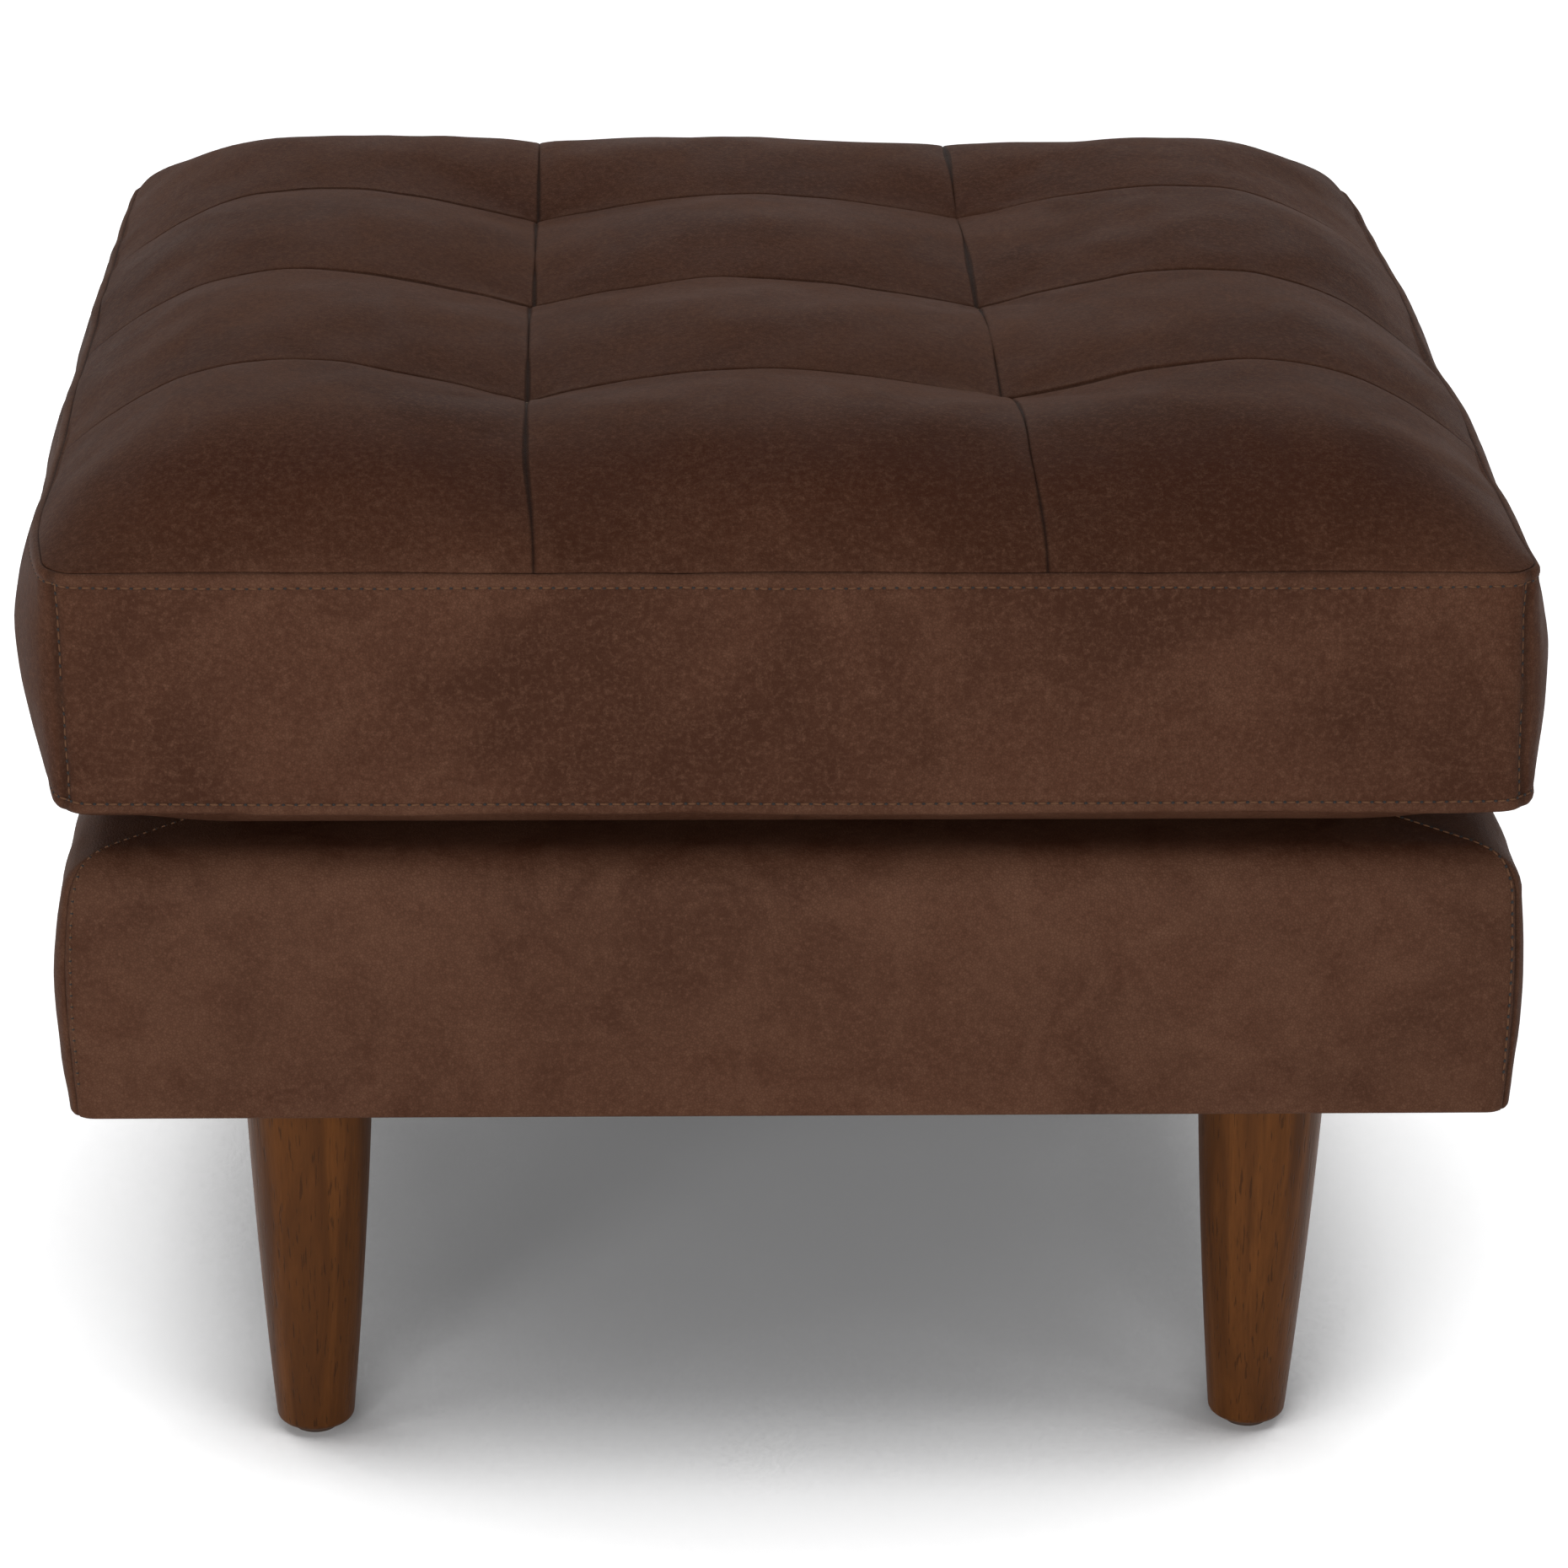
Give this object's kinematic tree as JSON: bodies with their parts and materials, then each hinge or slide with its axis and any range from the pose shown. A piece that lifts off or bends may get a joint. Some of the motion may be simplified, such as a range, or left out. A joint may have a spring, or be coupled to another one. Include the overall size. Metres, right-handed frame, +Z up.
{
  "type": "tufted ottoman",
  "caption": "Square leather ottoman: a loose box cushion with a sewn and tufted top on an upholstered base with round tapered wooden legs.",
  "frame": {"origin": "on the floor under the middle of the ottoman", "axes": "+Z up from the floor, -Y towards the front, +X to the right seen from the front"},
  "size_m": [0.632, 0.6035, 0.4703],
  "materials": {
    "brown_leather": "satin",
    "white_fibre": "matte",
    "seat_foam": "matte",
    "black_cloth": "matte",
    "tuft_twine": "matte",
    "anchor_plastic": "matte",
    "zip_tape": "matte",
    "zip_coil": "satin",
    "zip_metal": "satin",
    "frame_wood": "matte",
    "leg_wood": "satin",
    "glide_plastic": "matte",
    "zinc_steel": "satin",
    "seat_webbing": "matte"
  },
  "bodies": {
    "base": {"base_cover_front": "brown_leather", "base_cover_back": "brown_leather", "base_cover_left": "brown_leather", "base_cover_right": "brown_leather", "base_wadding": "white_fibre", "deck_cloth": "black_cloth", "deck_foam": "seat_foam", "webbing_front_to_back": "seat_webbing", "webbing_side_to_side": "seat_webbing", "rail_front": "frame_wood", "rail_back": "frame_wood", "rail_left": "frame_wood", "rail_right": "frame_wood", "stretcher": "frame_wood", "corner_plate_front_left": "frame_wood", "corner_plate_front_right": "frame_wood", "corner_plate_back_left": "frame_wood", "corner_plate_back_right": "frame_wood", "dust_cover": "black_cloth", "legs": "leg_wood", "glides": "glide_plastic", "tee_nuts": "zinc_steel", "hanger_bolts": "zinc_steel", "glide_nails": "zinc_steel"},
    "cushion": {"top_panels_row1": "brown_leather", "top_panels_row2": "brown_leather", "top_panels_row3": "brown_leather", "top_panels_row4": "brown_leather", "boxing_front": "brown_leather", "boxing_left": "brown_leather", "boxing_right": "brown_leather", "boxing_back_lower": "brown_leather", "boxing_back_upper": "brown_leather", "underside_left": "brown_leather", "underside_right": "brown_leather", "zip_tapes": "zip_tape", "zip_chain": "zip_coil", "fibre_top": "white_fibre", "foam_core": "seat_foam", "fibre_under": "white_fibre", "tuft_ties": "tuft_twine", "tuft_anchors": "anchor_plastic"},
    "zip_slider": {"zip_slider": "zip_metal"}
  },
  "joints": [
    {"name": "cushion_lift", "type": "slide", "parent": "base", "child": "cushion", "axis": [0, 0, 1], "range_m": [0, 0.2]},
    {"name": "zip_slide", "type": "slide", "parent": "cushion", "child": "zip_slider", "axis": [1, 0, 0], "range_m": [-0.559, 0]}
  ]
}
